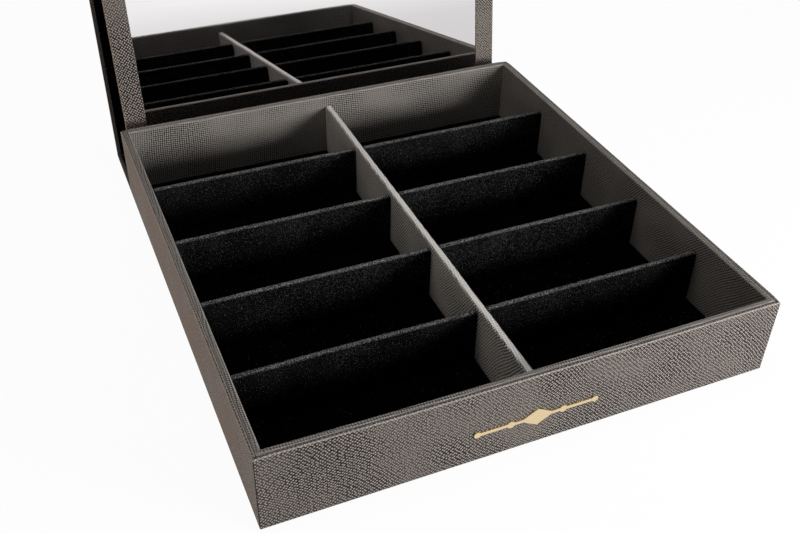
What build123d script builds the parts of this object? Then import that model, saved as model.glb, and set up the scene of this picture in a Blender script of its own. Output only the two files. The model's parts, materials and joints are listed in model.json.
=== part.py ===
from build123d import *
import os
from math import cos, radians, sin

# Display box for ten pairs of eyeglasses: a divided tray with a book-style cover.
# Millimetres. The origin is the centre of the tray's underside, +Y goes to the back, +Z up.
# The cover is open: its spine lies on the table behind the tray, its lid stands on end,
# and the loose mirror panel stands on the spine and leans back on the lid.

# tray
tray_width = 360.0
tray_depth = 386.0
tray_height = 59.7
base_thickness = 2.0
bottom_thickness = 2.5
outer_wall = 2.4
lining_wall = 4.1
outer_round = 0.9
lining_round = 1.2
corner_seam = 0.45

# compartments
column_names = ["left", "right"]
rows = 5
centre_thickness = 5.8
centre_top = 50.0
centre_round = 1.6
cross_thickness = 3.5
cross_top = 48.3
cross_round = 1.5
cross_corner = 4.0
pad_thickness = 5.5
pad_round = 1.0
slip = 0.2

# front ornament
ornament_length = 88.0
ornament_thickness = 1.4
ornament_height = 24.0
rule_width = 2.4
lozenge_length = 24.0
lozenge_width = 14.0
eye_radius = 2.7
eye_offset = 18.5
finial_radius = 2.4
pin_radius = 0.8
pin_clearance = 0.05
pin_spacing = 58.0

# cover
hinge_gap = 1.6
hinge_offset = 0.8
spine_thickness = 2.0
lid_thickness = 2.5
lid_corner = 1.0
lining_cloth = 0.5
lining_margin = 3.0
closing_clearance = 0.3
cloth_thickness = 0.5

# mirror panel
panel_side_gap = 0.3
panel_end_gap = 3.5
panel_thickness = 4.0
panel_lean = 7.28
bar_width = 17.5
lip_thickness = 1.0
rebate_width = 4.0
glass_thickness = 2.0
bar_round = 0.6
touch_gap = 0.3

# places worked out from the sizes above
half_width = tray_width / 2
half_depth = tray_depth / 2
wall = outer_wall + lining_wall
floor_level = base_thickness + bottom_thickness
pad_top = floor_level + pad_thickness
columns = len(column_names)
inner_width = tray_width - 2 * wall
inner_depth = tray_depth - 2 * wall
column_width = (inner_width - (columns - 1) * centre_thickness) / columns
cell_depth = (inner_depth - (rows - 1) * cross_thickness) / rows
row_pitch = cell_depth + cross_thickness
column_pitch = column_width + centre_thickness
cross_width = column_width - 2 * slip
cross_height = cross_top - floor_level
column_centres = [(i - (columns - 1) / 2) * column_pitch for i in range(columns)]

spine_axis_y = half_depth + hinge_offset
spine_axis_z = base_thickness
spine_top = spine_thickness + lining_cloth
lid_inner_y = spine_axis_y + tray_height + closing_clearance - spine_axis_z
lid_board_y = lid_inner_y + lining_cloth
lid_outer_y = lid_board_y + lid_thickness
spine_start = half_depth + hinge_gap
spine_end = lid_inner_y - hinge_offset
lid_length = spine_axis_z + hinge_offset + tray_depth
cloth_width = tray_width - 2 * lining_margin

panel_width = inner_width - 2 * panel_side_gap
panel_length = inner_depth - 2 * panel_end_gap
lean = radians(panel_lean)
foot_y = lid_inner_y - touch_gap - panel_length * sin(lean)
foot_z = spine_top + touch_gap
panel_front_y = foot_y - panel_thickness * cos(lean)
panel_front_z = foot_z + panel_thickness * sin(lean)
panel_plane = Plane(
    origin=(0, panel_front_y, panel_front_z),
    x_dir=(1, 0, 0),
    z_dir=(0, -cos(lean), sin(lean)),
)
ornament_plane = Plane(origin=(0, -half_depth, ornament_height), x_dir=(1, 0, 0), z_dir=(0, -1, 0))

os.makedirs("parts", exist_ok=True)


def save(piece, name):
    piece.part.label = name
    export_step(piece.part, f"parts/{name}.step")


def mitred(plane, length, width, height):
    """A bar with mitred ends whose outer edge runs along the plane's X axis."""
    with BuildPart() as bar:
        with BuildSketch(plane):
            with BuildLine():
                Polyline(
                    (-length / 2, 0),
                    (length / 2, 0),
                    (length / 2 - width, width),
                    (-length / 2 + width, width),
                    close=True,
                )
            make_face()
        extrude(amount=height)
    return bar.part


def side_plane(side, length_x, length_y, z):
    """The plane whose X axis runs along the outer edge of one side of a rectangle, with Y inward."""
    places = {
        "front": ((0, -length_y / 2, z), (1, 0, 0)),
        "right": ((length_x / 2, 0, z), (0, 1, 0)),
        "back": ((0, length_y / 2, z), (-1, 0, 0)),
        "left": ((-length_x / 2, 0, z), (0, -1, 0)),
    }
    origin, along = places[side]
    return Plane(origin=origin, x_dir=along, z_dir=(0, 0, 1))


# case base: the board under the tray that the cover is hinged to
with BuildPart() as case_base:
    with BuildSketch():
        Rectangle(tray_width, tray_depth)
    extrude(amount=base_thickness)
save(case_base, "case_base")

# bottom board: fits inside the outer walls and carries linings, dividers and pads
with BuildPart() as bottom_board:
    with BuildSketch(Plane.XY.offset(base_thickness)):
        Rectangle(tray_width - 2 * outer_wall, tray_depth - 2 * outer_wall)
    extrude(amount=bottom_thickness)
save(bottom_board, "bottom_board")

# outer walls: mitred, with a rounded top and an open seam down each corner
for side in ("front", "right", "back", "left"):
    run = tray_width if side in ("front", "back") else tray_depth
    plane = side_plane(side, tray_width, tray_depth, base_thickness)
    with BuildPart() as outer:
        add(mitred(plane, run, outer_wall, tray_height - base_thickness))
        top = outer.edges().group_by(Axis.Z)[-1]
        fillet(top.sort_by(SortBy.LENGTH)[-2:], outer_round)
        uprights = outer.edges().filter_by(Axis.Z).sort_by(Axis(plane.origin, plane.y_dir))[:2]
        chamfer(uprights, corner_seam)
        if side == "front":
            with Locations(ornament_plane):
                with GridLocations(pin_spacing, 1, 2, 1):
                    Hole(pin_radius + pin_clearance, depth=outer_wall)
    save(outer, f"outer_wall_{side}")

# lining walls: mitred boards inside the outer walls, standing on the bottom board
lining_width = tray_width - 2 * outer_wall
lining_depth = tray_depth - 2 * outer_wall
for side in ("front", "right", "back", "left"):
    run = lining_width if side in ("front", "back") else lining_depth
    plane = side_plane(side, lining_width, lining_depth, floor_level)
    with BuildPart() as lining:
        add(mitred(plane, run, lining_wall, tray_height - floor_level))
        top = lining.edges().group_by(Axis.Z)[-1]
        fillet(top.sort_by(SortBy.LENGTH)[-2:], lining_round)
    save(lining, f"lining_wall_{side}")

# centre divider, front to back
with BuildPart() as centre_divider:
    with BuildSketch(Plane.XZ):
        with Locations((0, floor_level)):
            Rectangle(centre_thickness, centre_top - floor_level, align=(Align.CENTER, Align.MIN))
        fillet(vertices().group_by(Axis.Z)[-1], centre_round)
    extrude(amount=inner_depth / 2, both=True)
save(centre_divider, "centre_divider")

# cross dividers: velvet-covered boards with a rounded top edge and rounded top corners
for column, column_x in zip(column_names, column_centres):
    for row in range(1, rows):
        divider_y = -inner_depth / 2 + row * row_pitch - cross_thickness / 2
        with BuildPart() as divider:
            with BuildSketch(Plane.YZ.offset(column_x)):
                with Locations((divider_y, floor_level)):
                    Rectangle(cross_thickness, cross_height, align=(Align.CENTER, Align.MIN))
                fillet(vertices().group_by(Axis.Z)[-1], cross_round)
            extrude(amount=cross_width / 2, both=True)
            with BuildSketch(Plane.XZ.offset(-divider_y)):
                with Locations((column_x, floor_level)):
                    Rectangle(cross_width, cross_height, align=(Align.CENTER, Align.MIN))
                fillet(vertices().group_by(Axis.Z)[-1], cross_corner)
            extrude(amount=cross_thickness / 2, both=True, mode=Mode.INTERSECT)
        save(divider, f"cross_divider_{column}_{row}")

# floor pads: one velvet pad in each compartment
for column, column_x in zip(column_names, column_centres):
    for row in range(rows):
        pad_y = -inner_depth / 2 + cell_depth / 2 + row * row_pitch
        with BuildPart() as pad:
            with BuildSketch(Plane.XY.offset(floor_level)):
                with Locations((column_x, pad_y)):
                    Rectangle(column_width - 2 * slip, cell_depth - 2 * slip)
            extrude(amount=pad_thickness)
            fillet(pad.edges().group_by(Axis.Z)[-1], pad_round)
        save(pad, f"floor_pad_{column}_{row + 1}")

# front ornament: a rule with a lozenge between two eyes and a round finial at each end, on two pins
with BuildPart() as ornament:
    with BuildSketch(ornament_plane):
        Rectangle(ornament_length - 2 * finial_radius, rule_width)
        with BuildLine():
            Polyline(
                (-lozenge_length / 2, 0),
                (0, lozenge_width / 2),
                (lozenge_length / 2, 0),
                (0, -lozenge_width / 2),
                close=True,
            )
        make_face()
        with Locations((-eye_offset, 0), (eye_offset, 0)):
            Circle(eye_radius)
        with GridLocations(ornament_length - 2 * finial_radius, 1, 2, 1):
            Circle(finial_radius)
    extrude(amount=ornament_thickness)
    with BuildSketch(ornament_plane):
        with GridLocations(pin_spacing, 1, 2, 1):
            Circle(pin_radius)
    extrude(amount=-outer_wall)
save(ornament, "front_ornament")

# spine: lies flat behind the tray, with velvet on its upper side
with BuildPart() as spine_board:
    with BuildSketch():
        with Locations((0, spine_start)):
            Rectangle(tray_width, spine_end - spine_start, align=(Align.CENTER, Align.MIN))
    extrude(amount=spine_thickness)
save(spine_board, "spine_board")

with BuildPart() as spine_lining:
    with BuildSketch(Plane.XY.offset(spine_thickness)):
        with Locations((0, spine_start)):
            Rectangle(cloth_width, spine_end - spine_start, align=(Align.CENTER, Align.MIN))
    extrude(amount=lining_cloth)
save(spine_lining, "spine_lining")

# lid: stands on end behind the spine, with velvet on its inner side
with BuildPart() as lid_board:
    with BuildSketch(Plane.XZ.offset(-lid_outer_y)):
        Rectangle(tray_width, lid_length, align=(Align.CENTER, Align.MIN))
    extrude(amount=lid_thickness)
    fillet(lid_board.edges().filter_by(Axis.Y), lid_corner)
save(lid_board, "lid_board")

with BuildPart() as lid_lining:
    with BuildSketch(Plane.XZ.offset(-lid_board_y)):
        with Locations((0, lining_margin)):
            Rectangle(cloth_width, lid_length - 2 * lining_margin, align=(Align.CENTER, Align.MIN))
    extrude(amount=lining_cloth)
save(lid_lining, "lid_lining")

# hinge cloth: one strip in each joint of the cover
with BuildPart() as lower_hinge_cloth:
    with BuildSketch():
        with Locations((0, half_depth)):
            Rectangle(cloth_width, spine_start - half_depth, align=(Align.CENTER, Align.MIN))
    extrude(amount=cloth_thickness)
save(lower_hinge_cloth, "lower_hinge_cloth")

with BuildPart() as upper_hinge_cloth:
    with BuildSketch():
        with Locations((0, spine_end)):
            Rectangle(cloth_width, lid_board_y - spine_end, align=(Align.CENTER, Align.MIN))
    extrude(amount=cloth_thickness)
save(upper_hinge_cloth, "upper_hinge_cloth")

# mirror frame: four mitred bars with a lip in front of the glass and a rebate behind the lip
panel_centre = panel_plane.origin + panel_plane.y_dir * (panel_length / 2)
bar_places = {
    "bottom": (panel_width, panel_plane.x_dir, -panel_length / 2, panel_plane.y_dir),
    "right": (panel_length, panel_plane.y_dir, -panel_width / 2, panel_plane.x_dir * -1),
    "top": (panel_width, panel_plane.x_dir * -1, -panel_length / 2, panel_plane.y_dir * -1),
    "left": (panel_length, panel_plane.y_dir * -1, -panel_width / 2, panel_plane.x_dir),
}
for side, (run, along, reach, inward) in bar_places.items():
    plane = Plane(origin=panel_centre + inward * reach, x_dir=along, z_dir=panel_plane.z_dir)
    body_depth = panel_thickness - lip_thickness
    with BuildPart() as bar:
        add(mitred(plane, run, bar_width, -lip_thickness))
        add(mitred(plane.offset(-panel_thickness), run, bar_width - rebate_width, body_depth))
        front_face = bar.faces().sort_by(Axis(plane.origin, plane.z_dir))[-1]
        fillet(front_face.edges().sort_by(SortBy.LENGTH)[-2:], bar_round)
    save(bar, f"mirror_bar_{side}")

glass_width = panel_width - 2 * (bar_width - rebate_width) - 2 * slip
glass_length = panel_length - 2 * (bar_width - rebate_width) - 2 * slip
glass_plane = Plane(origin=panel_centre, x_dir=panel_plane.x_dir, z_dir=panel_plane.z_dir)
with BuildPart() as mirror_glass:
    with BuildSketch(glass_plane.offset(-lip_thickness)):
        Rectangle(glass_width, glass_length)
    extrude(amount=-glass_thickness)
save(mirror_glass, "mirror_glass")

with BuildPart() as mirror_backing:
    with BuildSketch(glass_plane.offset(-lip_thickness - glass_thickness)):
        Rectangle(glass_width, glass_length)
    extrude(amount=-(panel_thickness - lip_thickness - glass_thickness))
save(mirror_backing, "mirror_backing")
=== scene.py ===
import json
import math
import random

import bmesh
import bpy
from mathutils import Matrix, Vector, noise


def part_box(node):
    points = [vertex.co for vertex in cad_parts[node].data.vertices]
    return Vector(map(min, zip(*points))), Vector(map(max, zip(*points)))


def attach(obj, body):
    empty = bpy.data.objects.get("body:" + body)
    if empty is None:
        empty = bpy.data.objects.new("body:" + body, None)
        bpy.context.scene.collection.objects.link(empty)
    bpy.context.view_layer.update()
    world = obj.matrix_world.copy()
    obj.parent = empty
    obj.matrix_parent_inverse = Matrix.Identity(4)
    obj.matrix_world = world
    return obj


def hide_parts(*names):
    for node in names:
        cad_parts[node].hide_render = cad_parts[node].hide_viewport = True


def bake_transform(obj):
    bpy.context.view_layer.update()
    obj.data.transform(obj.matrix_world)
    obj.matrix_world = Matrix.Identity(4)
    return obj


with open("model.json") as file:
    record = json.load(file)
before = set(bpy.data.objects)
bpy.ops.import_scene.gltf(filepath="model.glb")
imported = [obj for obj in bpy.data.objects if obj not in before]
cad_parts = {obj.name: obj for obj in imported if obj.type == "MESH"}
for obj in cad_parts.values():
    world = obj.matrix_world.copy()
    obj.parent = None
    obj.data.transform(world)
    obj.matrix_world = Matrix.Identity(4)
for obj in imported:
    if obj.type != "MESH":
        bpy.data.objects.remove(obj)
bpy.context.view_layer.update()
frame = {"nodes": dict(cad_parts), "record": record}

# Display box for eyeglasses: a leatherette-wrapped tray with velvet compartments,
# a book-style cover that stands open, and a loose framed mirror leaning on it.

mm = 0.001
wallRun = {"front": 0, "right": 1, "back": 0, "left": 1}  # the axis that each wall runs along
columns = ("left", "right")
nodeOf = frame["nodes"]
trayLow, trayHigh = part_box("case_base")
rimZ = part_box("outer_wall_front")[1].z
bodyOf = {n: body for body, members in frame["record"]["behaviour"]["bodies"].items() for n in members}
print("frame loaded:", len(nodeOf), "nodes")


def linear(hexColour):
    values = [int(hexColour[i:i + 2], 16) / 255 for i in (1, 3, 5)]
    return tuple(v / 12.92 if v <= 0.04045 else ((v + 0.055) / 1.055) ** 2.4 for v in values) + (1.0,)


def grey(value):
    return (value, value, value, 1.0)


# Materials: sizes are in millimetres, and a span is the two pattern values a change runs between

mixA, mixB, mixOut = 6, 7, 2  # a Mix node's two colour inputs and its colour output


def addNode(tree, kind, settings=None, inputs=None, stops=()):
    made = tree.nodes.new("ShaderNode" + kind)
    for name, value in (settings or {}).items():
        setattr(made, name, value)
    for key, value in (inputs or {}).items():
        if isinstance(value, bpy.types.NodeSocket):
            tree.links.new(value, made.inputs[key])
        else:
            made.inputs[key].default_value = value
    for i, (at, colour) in enumerate(stops):
        elements = made.color_ramp.elements
        element = elements[i] if i < len(elements) else elements.new(at)
        element.position = at
        element.color = colour
    return made


def newMaterial(name):
    material = bpy.data.materials.new(name)
    material.use_nodes = True
    material.node_tree.nodes.clear()
    return material, material.node_tree


def finishMaterial(tree, inputs):
    shader = addNode(tree, "BsdfPrincipled", None, inputs)
    addNode(tree, "OutputMaterial", None, {"Surface": shader.outputs[0]})


def embossedLeatherette(name, look):
    # calendered PVC on cloth, hot embossed with a small lizard scale: each scale is a low dome
    # that catches the light, and the grooves between them stay dark
    material, tree = newMaterial(name)
    flat = addNode(tree, "TexCoord").outputs["UV"]
    stir, pores, patches, press = [
        addNode(tree, "TexNoise", {"noise_dimensions": "2D"},
                {"Vector": flat, "Scale": 1 / (look[size] * mm), "Detail": detail}).outputs
        for size, detail in (("drift", 1.0), ("pore", 2.0), ("patch", 2.0), ("press", 1.5))]
    # rows of scales that wander a little, as the roller left them
    strayed = addNode(tree, "VectorMath", {"operation": "MULTIPLY_ADD"},
                      {0: stir["Color"], 1: (look["stray"] * mm,) * 3, 2: flat})
    rows = addNode(tree, "Mapping", None, {"Vector": strayed.outputs[0],
                                           "Rotation": (0, 0, math.radians(look["rowTurn"]))})
    scales = addNode(tree, "TexVoronoi", {"feature": "F1", "voronoi_dimensions": "2D"},
                     {"Vector": rows.outputs[0], "Scale": 1 / (look["scaleSize"] * mm),
                      "Randomness": look["random"]}).outputs["Distance"]
    grain = addNode(tree, "ValToRGB", None, {"Fac": scales},
                    zip(look["grainAt"], [linear(look[part]) for part in ("dome", "flank", "groove")]))
    relief = addNode(tree, "ValToRGB", None, {"Fac": scales},
                     zip(look["reliefAt"], (grey(1), grey(look["flankHeight"]), grey(0))))
    # where the sheet was pressed less, the scales nearly close up and the grain grows faint
    pressLow, pressHigh = look["pressSpan"]
    faint = addNode(tree, "MapRange", None, {"Value": press["Fac"], "From Min": pressLow,
                                             "From Max": pressHigh, "To Max": look["faint"]})
    pressed = addNode(tree, "Mix", {"data_type": "RGBA"},
                      {0: faint.outputs[0], mixA: grain.outputs[0], mixB: linear(look["worn"])})
    tint = addNode(tree, "ValToRGB", None, {"Fac": patches["Fac"]}, zip(look["patchSpan"], look["patchTint"]))
    mottled = addNode(tree, "Mix", {"data_type": "RGBA", "blend_type": "MULTIPLY"},
                      {0: 1.0, mixA: pressed.outputs[mixOut], mixB: tint.outputs[0]})
    # rounded board edges are painted paler, a painted highlight where they catch the light; glued seams stay
    # dark
    paintedHighlight = addNode(tree, "Attribute", {"attribute_name": "paintedHighlight"})
    share = addNode(tree, "Math", {"operation": "MULTIPLY"}, {0: paintedHighlight.outputs["Fac"], 1: look["highlightShare"]})
    edged = addNode(tree, "Mix", {"data_type": "RGBA"},
                    {0: share.outputs[0], mixA: mottled.outputs[mixOut], mixB: linear(look["edge"])})
    seam = addNode(tree, "Attribute", {"attribute_name": "seam"})
    colour = addNode(tree, "Mix", {"data_type": "RGBA"},
                     {0: seam.outputs["Fac"], mixA: edged.outputs[mixOut], mixB: linear(look["seam"])})
    rough = addNode(tree, "ValToRGB", None, {"Fac": patches["Fac"]},
                    zip(look["patchSpan"], [grey(look["rough"] + change) for change in look["roughBy"]]))
    dome = addNode(tree, "Bump", None, {"Strength": 1.0, "Distance": look["relief"] * mm,
                                        "Height": relief.outputs[0]})
    skin = addNode(tree, "Bump", None, {"Strength": 0.3, "Distance": look["poreDepth"] * mm,
                                        "Height": pores["Fac"], "Normal": dome.outputs[0]})
    finishMaterial(tree, {"Base Color": colour.outputs[mixOut], "Roughness": rough.outputs[0],
                          "Normal": skin.outputs[0], "IOR": 1.5, "Specular IOR Level": look["shine"]})
    return material


def cutPileVelvet(name, look):
    # short cut pile that swallows nearly all light: stray lint shows as pale specks, and near a board's top
    # the pile is painted pale in patches, a painted sheen where the top edge catches the light
    material, tree = newMaterial(name)
    spot = addNode(tree, "TexCoord").outputs["Object"]
    tufts = addNode(tree, "TexNoise", None, {"Vector": spot, "Scale": 1 / (look["tuft"] * mm),
                                             "Detail": 3.0, "Roughness": 0.7}).outputs["Fac"]
    tips = addNode(tree, "ValToRGB", None, {"Fac": tufts},
                   zip(look["tipSpan"], (linear(look["pile"]), linear(look["tip"]))))
    brushed = addNode(tree, "TexNoise", None,
                      {"Vector": spot, "Scale": 1 / (look["brush"] * mm), "Detail": 2.0})
    shade = addNode(tree, "ValToRGB", None, {"Fac": brushed.outputs["Fac"]},
                    zip(look["brushSpan"], look["brushTint"]))
    nap = addNode(tree, "Mix", {"data_type": "RGBA", "blend_type": "MULTIPLY"},
                  {0: 1.0, mixA: tips.outputs[0], mixB: shade.outputs[0]})
    specks = addNode(tree, "TexVoronoi", {"feature": "F1"},
                     {"Vector": spot, "Scale": 1 / (look["lintApart"] * mm), "Randomness": 1.0})
    lint = addNode(tree, "ValToRGB", None, {"Fac": specks.outputs["Distance"]},
                   zip(look["lintSpan"], (grey(1), grey(0))))
    linty = addNode(tree, "Mix", {"data_type": "RGBA"},
                    {0: lint.outputs[0], mixA: nap.outputs[mixOut], mixB: linear(look["lint"])})
    # painted sheen: paler towards a partition's top, broken up by the tufts
    height = addNode(tree, "SeparateXYZ", None, {"Vector": spot})
    topSheen = addNode(tree, "MapRange", None,
                     {"Value": height.outputs["Z"], "From Min": look["sheenFrom"] * mm,
                      "From Max": look["sheenTo"] * mm, "To Max": look["sheenShare"]})
    clumps = addNode(tree, "ValToRGB", None, {"Fac": tufts}, zip(look["clumpSpan"], (grey(0), grey(1))))
    patchySheen = addNode(tree, "Math", {"operation": "MULTIPLY"}, {0: topSheen.outputs[0], 1: clumps.outputs[0]})
    colour = addNode(tree, "Mix", {"data_type": "RGBA"},
                     {0: patchySheen.outputs[0], mixA: linty.outputs[mixOut], mixB: linear(look["open"])})
    fuzz = addNode(tree, "Bump", None, {"Strength": 0.9, "Distance": look["tuft"] * look["fuzzDepth"] * mm,
                                        "Height": tufts})
    finishMaterial(tree, {"Base Color": colour.outputs[mixOut], "Roughness": 1.0,
                          "Specular IOR Level": 0.0, "Normal": fuzz.outputs[0]})
    return material


def wovenBookcloth(name, look):
    # filled cotton bookcloth: plain weave, two thread directions crossing
    material, tree = newMaterial(name)
    spot = addNode(tree, "TexCoord").outputs["Object"]
    threads = [addNode(tree, "TexWave", {"bands_direction": axis},
                       {"Vector": spot, "Scale": look["wavePeriod"] / (look["thread"] * mm),
                        "Distortion": 0.6}).outputs["Fac"] for axis in ("X", "Y")]
    weave = addNode(tree, "Math", {"operation": "MAXIMUM"}, {0: threads[0], 1: threads[1]}).outputs[0]
    colour = addNode(tree, "ValToRGB", None, {"Fac": weave},
                     zip(look["weaveSpan"], (linear(look["gap"]), linear(look["yarn"]))))
    bump = addNode(tree, "Bump", None, {"Strength": 0.6, "Distance": look["relief"] * mm, "Height": weave})
    finishMaterial(tree, {"Base Color": colour.outputs[0], "Roughness": 0.8, "Normal": bump.outputs[0]})
    return material


def silveredGlass(name, look):
    # float glass silvered on its back: a clear, almost colourless reflection, with faint smears
    material, tree = newMaterial(name)
    spot = addNode(tree, "TexCoord").outputs["Object"]
    haze = addNode(tree, "TexNoise", None,
                   {"Vector": spot, "Scale": 1 / (look["smear"] * mm), "Detail": 4.0})
    rough = addNode(tree, "ValToRGB", None, {"Fac": haze.outputs["Fac"]},
                    zip(look["smearSpan"], [grey(look["rough"] + change) for change in look["roughBy"]]))
    finishMaterial(tree, {"Base Color": linear(look["silver"]), "Metallic": 1.0,
                          "Roughness": rough.outputs[0]})
    return material


def greyboard(name, look):
    # uncoated recycled board: matt, with short fibres and specks
    material, tree = newMaterial(name)
    spot = addNode(tree, "TexCoord").outputs["Object"]
    fibre = addNode(tree, "TexNoise", None,
                    {"Vector": spot, "Scale": 1 / (look["fibre"] * mm), "Detail": 5.0}).outputs["Fac"]
    colour = addNode(tree, "ValToRGB", None, {"Fac": fibre},
                     zip(look["fibreSpan"], (linear(look["dark"]), linear(look["light"]))))
    bump = addNode(tree, "Bump", None, {"Strength": 0.4, "Distance": look["relief"] * mm, "Height": fibre})
    finishMaterial(tree, {"Base Color": colour.outputs[0], "Roughness": 0.9, "Normal": bump.outputs[0]})
    return material


def platedBrass(name, look):
    # die-struck brass, gold plated and polished: soft highlights with a faint orange peel
    material, tree = newMaterial(name)
    spot = addNode(tree, "TexCoord").outputs["Object"]
    peel = addNode(tree, "TexNoise", None,
                   {"Vector": spot, "Scale": 1 / (look["peel"] * mm), "Detail": 2.0}).outputs["Fac"]
    rough = addNode(tree, "ValToRGB", None, {"Fac": peel},
                    zip(look["peelSpan"], [grey(look["rough"] + change) for change in look["roughBy"]]))
    bump = addNode(tree, "Bump", None, {"Strength": 0.25, "Distance": look["relief"] * mm, "Height": peel})
    finishMaterial(tree, {"Base Color": linear(look["gold"]), "Metallic": 1.0,
                          "Roughness": rough.outputs[0], "Normal": bump.outputs[0]})
    return material


leather = {
    # one scale from its centre outwards, in shares of its size
    "dome": "#918983", "flank": "#45403e", "groove": "#100e0e", "grainAt": (0.12, 0.34, 0.52),
    "reliefAt": (0.12, 0.38, 0.56), "flankHeight": 0.7, "relief": 0.2,
    # the scales are about 1.85 mm apart, in rows that stray up to 6 mm over 48 mm
    "scaleSize": 1.85, "random": 0.32, "rowTurn": 45.0, "drift": 48.0, "stray": 6.0,
    "pore": 0.4, "poreDepth": 0.03,
    "patch": 60.0, "patchSpan": (0.3, 0.7), "patchTint": (grey(0.88), (1.1, 1.09, 1.07, 1.0)),
    "press": 58.0, "pressSpan": (0.42, 0.62), "faint": 0.45, "worn": "#534e4a",
    "rough": 0.55, "roughBy": (-0.05, 0.06), "shine": 0.16,
    # edge is the painted highlight colour for rounded edges; seam is the dark of glued seams
    "edge": "#a39b94", "highlightShare": 0.45, "seam": "#0b0a09",
}
wrapLeatherette = embossedLeatherette("leatherette_embossed_wrap", leather)
liningLeatherette = embossedLeatherette("leatherette_embossed_lining", {
    **leather, "dome": "#a49f9a", "flank": "#696562", "groove": "#292725", "worn": "#6e6a66", "faint": 0.6,
    "scaleSize": 1.8, "relief": 0.12, "random": 0.16, "stray": 4.0, "rowTurn": 3.0, "highlightShare": 0.3})
# painted light: a paler copy of the lining leatherette for the centre partition, which stands in more light;
# its level top takes a near-white painted highlight
litDividerLeatherette = embossedLeatherette("leatherette_embossed_lining_painted_lit", {
    **leather, "dome": "#ece8e4", "flank": "#989490", "groove": "#33312f", "worn": "#a5a09c",
    "random": 0.16, "rowTurn": 8.0, "edge": "#f4f0ea", "highlightShare": 0.55})
frameLeatherette = embossedLeatherette("leatherette_embossed_frame", {
    **leather, "dome": "#a29a93", "flank": "#4e4946", "worn": "#5b5652", "scaleSize": 1.9, "rowTurn": 40.0})
coverLeatherette = embossedLeatherette("leatherette_embossed_cover", {
    **leather, "dome": "#4b4744", "flank": "#232120", "groove": "#080707", "worn": "#2a2725",
    # the lid's painted edge highlight colour
    "edge": "#3a3634", "shine": 0.3})

# real pile is about 0.1 mm thick: its tufts are drawn 0.7 mm wide, so that they show
pile = {"pile": "#030303", "tip": "#0a0a0b", "tuft": 0.7, "tipSpan": (0.5, 0.7), "fuzzDepth": 0.6,
        "brush": 30.0, "brushSpan": (0.35, 0.7), "brushTint": (grey(0.6), (1.3, 1.3, 1.35, 1.0)),
        "lint": "#38383a", "lintApart": 4.2, "lintSpan": (0.06, 0.13),
        # open is the painted sheen colour on a partition's top millimetres
        "open": "#989898", "sheenFrom": 46.4, "sheenTo": 48.4, "sheenShare": 0.0, "clumpSpan": (0.48, 0.6)}
velvet = cutPileVelvet("velvet_cut_pile", pile)
# partitions: paler tips and denser lint, and the painted sheen along their tops
velvetSheenTop = cutPileVelvet("velvet_cut_pile_sheen_top", {
    **pile, "pile": "#050505", "tip": "#3a3a3a", "lint": "#a8a8aa", "lintApart": 1.3, "sheenShare": 0.8})

# at scale 1 the wave pattern repeats every 0.314
bookcloth = wovenBookcloth("bookcloth_woven", {"yarn": "#262322", "gap": "#0d0c0c", "weaveSpan": (0.2, 0.8),
                                               "thread": 0.45, "wavePeriod": 0.314, "relief": 0.08})
mirrorGlass = silveredGlass("glass_silvered", {"silver": "#eae7e8", "rough": 0.015, "roughBy": (0.0, 0.02),
                                               "smear": 60.0, "smearSpan": (0.45, 0.8)})
rawBoard = greyboard("greyboard_uncoated", {"dark": "#6f6a62", "light": "#8d877d", "fibre": 1.2,
                                            "fibreSpan": (0.35, 0.65), "relief": 0.05})
goldPlate = platedBrass("brass_gold_plated", {"gold": "#fbe3b6", "rough": 0.22, "roughBy": (-0.05, 0.07),
                                              "peel": 0.8, "peelSpan": (0.35, 0.65), "relief": 0.02})
print("materials made")


# Pieces copied from the model, cut across so that they can bow, and softened at their edges

settle = {"frontBow": 1.2, "frontDepth": 6.6, "bowPower": 2, "rippleLength": 42.0, "cut": 7.0,
          "cornerDrop": 0.9, "cornerReach": 6.0, "cornerPower": 8, "seed": 5}
noise.seed_set(settle["seed"])  # without it the ripple differs in each run
mend = {"weld": 0.002, "flatAngle": 0.5, "crispAngle": 50.0, "sliver": 0.04, "onPlane": 0.001,
        "smoothAngle": 38.0}
edging = {"roundedBelow": 0.985, "mitredAbove": 0.4, "levelAbove": 0.95, "topBand": 2.5, "sideSlant": 0.7071}


def bowed(point, ripple):
    lift = max(0.0, min(1.0, point.z / rimZ))
    moved = noise.noise_vector(point / (settle["rippleLength"] * mm)) * ripple * mm * lift
    if point.y < trayLow.y + settle["frontDepth"] * mm:
        middle = 1 - (point.x / trayHigh.x) ** 2
        moved.y -= settle["frontBow"] * mm * middle * lift ** settle["bowPower"]
    # the folded sheet sinks a little where two walls meet
    away = math.hypot(trayHigh.x - abs(point.x), trayHigh.y - abs(point.y))
    near = max(0.0, 1 - away / (settle["cornerReach"] * mm))
    moved.z -= settle["cornerDrop"] * mm * near * lift ** settle["cornerPower"]
    return moved


def layFlat(shape):
    # surface coordinates in metres, so every pattern keeps its real size; the side walls' are slanted
    sheet = shape.loops.layers.uv.verify()
    slant = edging["sideSlant"]
    for face in shape.faces:
        axis = max(range(3), key=lambda i: abs(face.normal[i]))
        across, along = [i for i in range(3) if i != axis]
        for loop in face.loops:
            u, v = loop.vert.co[across], loop.vert.co[along]
            loop[sheet].uv = ((u + v) * slant, (v - u) * slant) if axis == 0 else (u, v)


def addObject(shape, name, material):
    mesh = bpy.data.meshes.new(name)
    shape.to_mesh(mesh)
    shape.free()
    if "custom_normal" in mesh.attributes:  # the copied node's own normals no longer fit
        mesh.attributes.remove(mesh.attributes["custom_normal"])
    mesh.materials.append(material)
    made = bpy.data.objects.new(name, mesh)
    bpy.context.scene.collection.objects.link(made)
    return made


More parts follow.
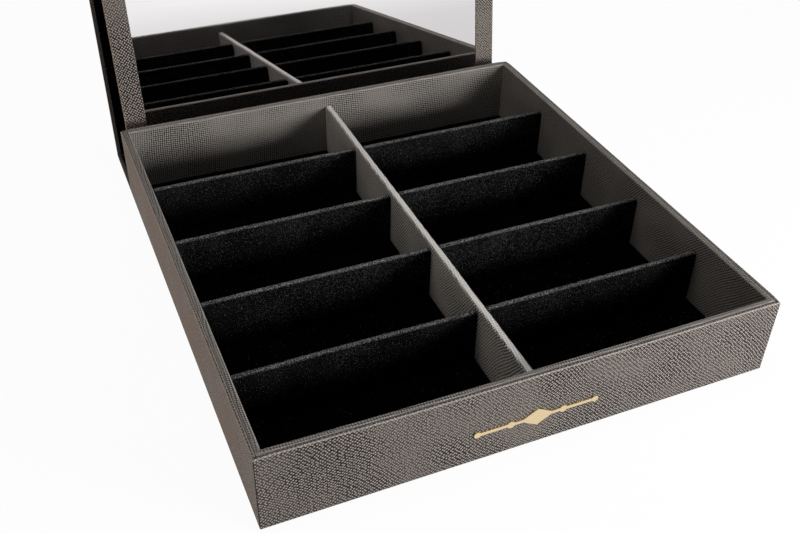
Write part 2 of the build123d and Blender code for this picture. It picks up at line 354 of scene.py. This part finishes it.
def addPiece(shape, name, material, node, edges="top"):
    shape.normal_update()
    layFlat(shape)
    paintedHighlight = shape.loops.layers.float.new("paintedHighlight")
    seam = shape.loops.layers.float.new("seam")
    top = max(vertex.co.z for vertex in shape.verts)
    for face in shape.faces:
        face.smooth = True
        rounded = max(abs(v) for v in face.normal) < edging["roundedBelow"]
        upper = face.calc_center_median().z > top - edging["topBand"] * mm
        mitred = min(abs(face.normal.x), abs(face.normal.y)) > edging["mitredAbove"]
        # the faces that take the painted highlight colour: rounded top edges, every rounded edge, or a level
        # cap
        isHighlighted = {"top": rounded and upper and not mitred, "all": rounded and not mitred,
                    "cap": face.normal.z > edging["levelAbove"], "none": False}[edges]
        isSeam = edges == "top" and rounded and (mitred or not upper)
        for loop in face.loops:
            loop[paintedHighlight] = 1.0 if isHighlighted else 0.0
            loop[seam] = 1.0 if isSeam else 0.0
    for edge in shape.edges:
        edge.smooth = len(edge.link_faces) == 2 and edge.calc_face_angle() < math.radians(mend["smoothAngle"])
    piece = addObject(shape, name, material)
    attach(piece, bodyOf[node])
    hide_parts(node)
    return piece


def keepShape(node, name, material, slotName, run=0, rows=0, ripple=0.0, soften=0.0, fibres=None,
              edges="top"):
    shape = bmesh.new()
    shape.from_mesh(nodeOf[node].data)
    for face in shape.faces:
        face.material_index = 0
    bmesh.ops.remove_doubles(shape, verts=shape.verts, dist=mend["weld"] * mm)
    bmesh.ops.dissolve_limit(shape, angle_limit=math.radians(mend["flatAngle"]),
                             verts=shape.verts, edges=shape.edges)
    if soften:
        crisp = [e for e in shape.edges
                 if len(e.link_faces) == 2 and e.calc_face_angle() > math.radians(mend["crispAngle"])]
        bmesh.ops.bevel(shape, geom=crisp, offset=soften * mm, segments=3, profile=0.5,
                        affect="EDGES", clamp_overlap=True)
        bmesh.ops.dissolve_degenerate(shape, dist=mend["sliver"] * mm, edges=shape.edges)
    low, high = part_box(node)
    if rows:
        for axis, step in ((run, settle["cut"] * mm), (2, (high.z - low.z) / rows)):
            normal = Vector([1.0 if i == axis else 0.0 for i in range(3)])
            for i in range(1, int((high[axis] - low[axis]) / step)):
                everything = shape.verts[:] + shape.edges[:] + shape.faces[:]
                bmesh.ops.bisect_plane(shape, geom=everything, dist=mend["onPlane"] * mm,
                                       plane_co=low + normal * step * i, plane_no=normal)
        for vertex in shape.verts:
            vertex.co += bowed(vertex.co, ripple)
    if fibres:
        fibres(shape, low, high)
    addPiece(shape, name, material, node, edges)


# Tray walls and linings

wall = {"rows": 5, "ripple": 0.16}
divider = {"rows": 4, "ripple": 0.3}
for side, run in wallRun.items():
    keepShape(f"outer_wall_{side}", f"wrapped_wall_{side}", wrapLeatherette, "wrap_leatherette",
              run, **wall)
    keepShape(f"lining_wall_{side}", f"wall_lining_{side}", liningLeatherette, "lining_leatherette",
              run, **wall)
keepShape("case_base", "base_board", wrapLeatherette, "wrap_leatherette", soften=0.5, edges="none")
keepShape("bottom_board", "tray_bottom", rawBoard, "greyboard")
# the level top of the partition takes the painted highlight colour
keepShape("centre_divider", "centre_partition", litDividerLeatherette, "lining_leatherette",
          1, **divider, edges="cap")
print("tray walls done")

# Velvet partitions, with pile fibres along their tops

partition = {"rows": 6, "ripple": 0.5}
fringe = {"each": 0.12, "length": 0.8, "lengthSpan": (0.6, 1.2), "width": 0.24, "spread": 0.8, "rooted": 0.3,
          "sideFrom": 0.8, "down": 2.5, "lift": 0.4, "topFrom": 0.5}


def topFringe(shape, low, high):
    # stray fibres of the pile: closed three-sided spikes, rooted inside the board
    random.seed(int(low.y * 1e4) + int(low.x * 1e5))  # each partition's place gives its own seed
    for _ in range(int((high.x - low.x) / (fringe["each"] * mm))):
        side = random.choice((-1, 1, 0))
        x = random.uniform(low.x, high.x)
        if side:
            drop = fringe["sideFrom"] + fringe["down"] * random.random() ** 2
            skin = Vector((x, low.y if side < 0 else high.y, high.z - drop * mm))
            outward = Vector((0, side, fringe["lift"]))
        else:
            skin = Vector((x, random.uniform(low.y, high.y), high.z - fringe["topFrom"] * mm))
            outward = Vector((0, 0, 1))
        lean = Vector([random.uniform(-1, 1) for _ in range(3)]) * fringe["spread"]
        grows = (outward + lean).normalized()
        reach = fringe["length"] * mm * random.uniform(*fringe["lengthSpan"])
        tip = shape.verts.new(skin + grows * reach)
        wide = grows.orthogonal().normalized() * fringe["width"] * mm / 2
        root = skin - grows * fringe["rooted"] * mm
        foot = [shape.verts.new(root + Matrix.Rotation(math.radians(turn), 3, grows) @ wide)
                for turn in (0, 120, 240)]
        flanks = [(foot[i - 1], foot[i], tip) for i in (1, 2, 0)]
        for corners in flanks + [foot[::-1]]:
            shape.faces.new(corners)


for column in columns:
    for row in range(1, 5):
        keepShape(f"cross_divider_{column}_{row}", f"velvet_partition_{column}_{row}", velvetSheenTop,
                  "black_velvet", 0, **partition, fibres=topFringe)

# Floor pads: crowned, with shallow dents, falling off steeply at their edges

pads = {"crown": 0.9, "dent": 0.35, "dentLength": 24.0, "along": 26, "across": 14,
        "edgePower": 16, "flank": 0.3}


def velvetPad(node, name):
    low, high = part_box(node)
    centre, half = (low + high) / 2, (high - low) / 2
    shape = bmesh.new()
    rows = []
    for j in range(pads["across"] + 1):
        v = math.sin((2 * j / pads["across"] - 1) * math.pi / 2)
        row = []
        for i in range(pads["along"] + 1):
            u = math.sin((2 * i / pads["along"] - 1) * math.pi / 2)
            edge = max(abs(u), abs(v))
            body = max(pads["flank"], (1 - edge ** pads["edgePower"]) ** 0.5)
            spot = Vector((centre.x + half.x * u, centre.y + half.y * v, low.z))
            dent = pads["dent"] * (1 + noise.noise(spot / (pads["dentLength"] * mm)))
            crown = pads["crown"] * (1 - u * u) * (1 - v * v) - dent
            spot.z += body * (high.z - low.z + crown * mm - pads["crown"] * mm)
            row.append(shape.verts.new(spot))
        rows.append(row)
    for lower, upper in zip(rows, rows[1:]):
        for corners in zip(lower, lower[1:], upper[1:], upper):
            shape.faces.new(corners)
    outline = rows[0] + [r[-1] for r in rows[1:]] + rows[-1][-2::-1] + [r[0] for r in rows[-2:0:-1]]
    foot = [shape.verts.new((vertex.co.x, vertex.co.y, low.z)) for vertex in outline]
    for i in range(len(outline)):
        shape.faces.new((foot[i - 1], foot[i], outline[i], outline[i - 1]))
    shape.faces.new(foot[::-1])
    pad = addPiece(shape, name, velvet, node)


for column in columns:
    for row in range(1, 6):
        velvetPad(f"floor_pad_{column}_{row}", f"velvet_pad_{column}_{row}")
print("velvet done")

# Front ornament

keepShape("front_ornament", "ornament_plate", goldPlate, "gold_plated_brass", soften=0.6, edges="none")

# Cover: spine, lid and their hinge cloth

keepShape("spine_board", "cover_spine_board", coverLeatherette, "cover_leatherette", soften=0.5)
keepShape("spine_lining", "cover_spine_velvet", velvet, "black_velvet", soften=0.15)
keepShape("lid_board", "cover_lid_board", coverLeatherette, "cover_leatherette", soften=0.6)
keepShape("lid_lining", "cover_lid_velvet", velvet, "black_velvet", soften=0.15)

gutter = {"rise": 0.35, "across": 8, "along": 24}


def hingeGutter(node, name):
    # bookcloth that arches up between two boards
    low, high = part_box(node)
    shape = bmesh.new()
    rings = []
    steps = list(range(gutter["across"] + 1))
    for i in range(gutter["along"] + 1):
        x = low.x + (high.x - low.x) * i / gutter["along"]
        ring = []
        for level, order in ((high.z, steps), (low.z, steps[::-1])):
            for j in order:
                t = j / gutter["across"]
                z = level + gutter["rise"] * mm * math.sin(math.pi * t)
                ring.append(shape.verts.new((x, low.y + (high.y - low.y) * t, z)))
        rings.append(ring)
    for first, second in zip(rings, rings[1:]):
        for j in range(len(first)):
            shape.faces.new((first[j - 1], second[j - 1], second[j], first[j]))
    shape.faces.new(rings[0])
    shape.faces.new(rings[-1][::-1])
    bmesh.ops.recalc_face_normals(shape, faces=shape.faces)
    for face in shape.faces:
        face.smooth = True
    strip = addObject(shape, name, bookcloth)
    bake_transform(strip)
    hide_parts(node)


hingeGutter("lower_hinge_cloth", "hinge_gutter_lower")
hingeGutter("upper_hinge_cloth", "hinge_gutter_upper")
print("cover done")

# Mirror panel

for side in ("bottom", "right", "top", "left"):
    # every rounded edge of the bars takes the painted highlight colour
    keepShape(f"mirror_bar_{side}", f"mirror_frame_{side}", frameLeatherette, "frame_leatherette",
              soften=0.3, edges="all")
for node, material in (("mirror_glass", mirrorGlass), ("mirror_backing", rawBoard)):
    nodeOf[node].data.materials.clear()
    nodeOf[node].data.materials.append(material)
nodeOf["mirror_glass"].visible_diffuse = False  # it throws no light of its own on the tray
print("mirror done")

# Floor, world, lamps

studio = {
    "floorColour": "#f3f3f2", "floorSize": 30.0, "floorDrop": 0.2, "ambient": 0.04,
    "whiteShare": 0.95, "mirroredShare": 0.95, "tableGlow": 0.18,
    "tableNear": 0.35, "tableFar": 0.85, "nearTone": 0.78, "farTone": 1.05,
    "lamps": {
        "leftSoftbox": {"at": (-1.5, 0.1, 0.03), "size": 0.05, "power": 8.8, "tint": "#ffbc68"},
        "leftHighSoftbox": {"at": (-1.4, 0.0, 0.5), "size": 0.35, "power": 2.4, "tint": "#fff8f0"},
        "frontLeftSoftbox": {"at": (-0.55, -1.8, 0.4), "size": 0.5, "power": 3.0, "tint": "#fffaf4",
                             "mirrored": False},
        "frontRightSoftbox": {"at": (0.66, -0.95, 0.24), "size": 0.4, "power": 22.8, "tint": "#ffffff",
                              "mirrored": False},
        "backSoftbox": {"at": (0.12, 2.0, 0.85), "size": 0.7, "power": 14.0, "tint": "#ffffff"},
        "topSoftbox": {"at": (-0.1, 0.0, 1.7), "size": 0.7, "power": 9.6, "tint": "#ffffff"},
    },
}

floorMaterial, tree = newMaterial("studio_floor")
rays = addNode(tree, "LightPath").outputs
reflected = addNode(tree, "Math", {"operation": "MULTIPLY"},
                    {0: rays["Is Glossy Ray"], 1: studio["mirroredShare"]})
direct = addNode(tree, "Math", {"operation": "MULTIPLY"},
                 {0: rays["Is Camera Ray"], 1: studio["whiteShare"]})
seen = addNode(tree, "Math", {"operation": "MAXIMUM"}, {0: reflected.outputs[0], 1: direct.outputs[0]})
share = addNode(tree, "Math", {"operation": "MAXIMUM"}, {0: seen.outputs[0], 1: studio["tableGlow"]})
paper = addNode(tree, "BsdfDiffuse", None, {"Color": linear(studio["floorColour"])})
# the white table is less lit close to the tray, which shows in reflections only
away = addNode(tree, "SeparateXYZ", None, {"Vector": addNode(tree, "NewGeometry").outputs["Position"]})
tone = addNode(tree, "MapRange", None,
               {"Value": away.outputs["Y"], "From Min": -studio["tableNear"], "From Max": -studio["tableFar"],
                "To Min": studio["nearTone"], "To Max": studio["farTone"]})
bright = addNode(tree, "Math", {"operation": "MAXIMUM"}, {0: tone.outputs[0], 1: rays["Is Camera Ray"]})
glow = addNode(tree, "Emission", None, {"Color": grey(1), "Strength": bright.outputs[0]})
blend = addNode(tree, "MixShader", None, {0: share.outputs[0], 1: paper.outputs[0], 2: glow.outputs[0]})
addNode(tree, "OutputMaterial", None, {"Surface": blend.outputs[0]})

reach = studio["floorSize"] / 2
table = bmesh.new()
table.faces.new([table.verts.new((x * reach, y * reach, 0))
                 for x, y in ((-1, -1), (1, -1), (1, 1), (-1, 1))])
floor = addObject(table, "studio_floor", floorMaterial)
floor.location.z = -studio["floorDrop"] * mm

world = bpy.data.worlds.new("studio")
world.use_nodes = True
tree = world.node_tree
tree.nodes.clear()
rays = addNode(tree, "LightPath").outputs
seen = addNode(tree, "Math", {"operation": "MAXIMUM"}, {0: rays["Is Camera Ray"], 1: rays["Is Glossy Ray"]})
dim = addNode(tree, "Background", None, {"Color": grey(1), "Strength": studio["ambient"]})
white = addNode(tree, "Background", None, {"Color": grey(1), "Strength": 1.0})
blend = addNode(tree, "MixShader", None, {0: seen.outputs[0], 1: dim.outputs[0], 2: white.outputs[0]})
addNode(tree, "OutputWorld", None, {"Surface": blend.outputs[0]})
bpy.context.scene.world = world

for name, lamp in studio["lamps"].items():
    light = bpy.data.lights.new(name, "AREA")
    light.size = lamp["size"]
    light.energy = lamp["power"]
    light.color = linear(lamp["tint"])[:3]
    holder = bpy.data.objects.new(name, light)
    holder.location = lamp["at"]
    holder.rotation_euler = Vector(lamp["at"]).to_track_quat("Z", "Y").to_euler()
    holder.visible_glossy = lamp.get("mirrored", True)
    bpy.context.scene.collection.objects.link(holder)
bpy.context.scene.view_settings.view_transform = "Standard"
print("studio done")

# Camera at the photograph's viewing angle, found from the tray's corners: millimetres, degrees, pixels

shot = {"at": (-253.4, -555.5, 470.5), "azimuth": -23.66, "elevation": 37.42, "roll": 1.01,
        "focal": 989.6, "imageWidth": 800, "sensor": 36.0}
azimuth, elevation, roll = (math.radians(shot[angle]) for angle in ("azimuth", "elevation", "roll"))
forward = Vector((-math.sin(azimuth) * math.cos(elevation), math.cos(azimuth) * math.cos(elevation),
                  -math.sin(elevation)))
right = forward.cross(Vector((0, 0, 1))).normalized()
up = right.cross(forward)
right, up = right * math.cos(roll) + up * math.sin(roll), up * math.cos(roll) - right * math.sin(roll)
camera = bpy.data.objects.new("camera", bpy.data.cameras.new("camera"))
camera.data.sensor_width = shot["sensor"]
camera.data.lens = shot["focal"] / shot["imageWidth"] * camera.data.sensor_width
turned = Matrix((right, up, -forward)).transposed().to_4x4()
camera.matrix_world = Matrix.Translation(Vector(shot["at"]) * mm) @ turned
bpy.context.scene.collection.objects.link(camera)
bpy.context.scene.camera = camera
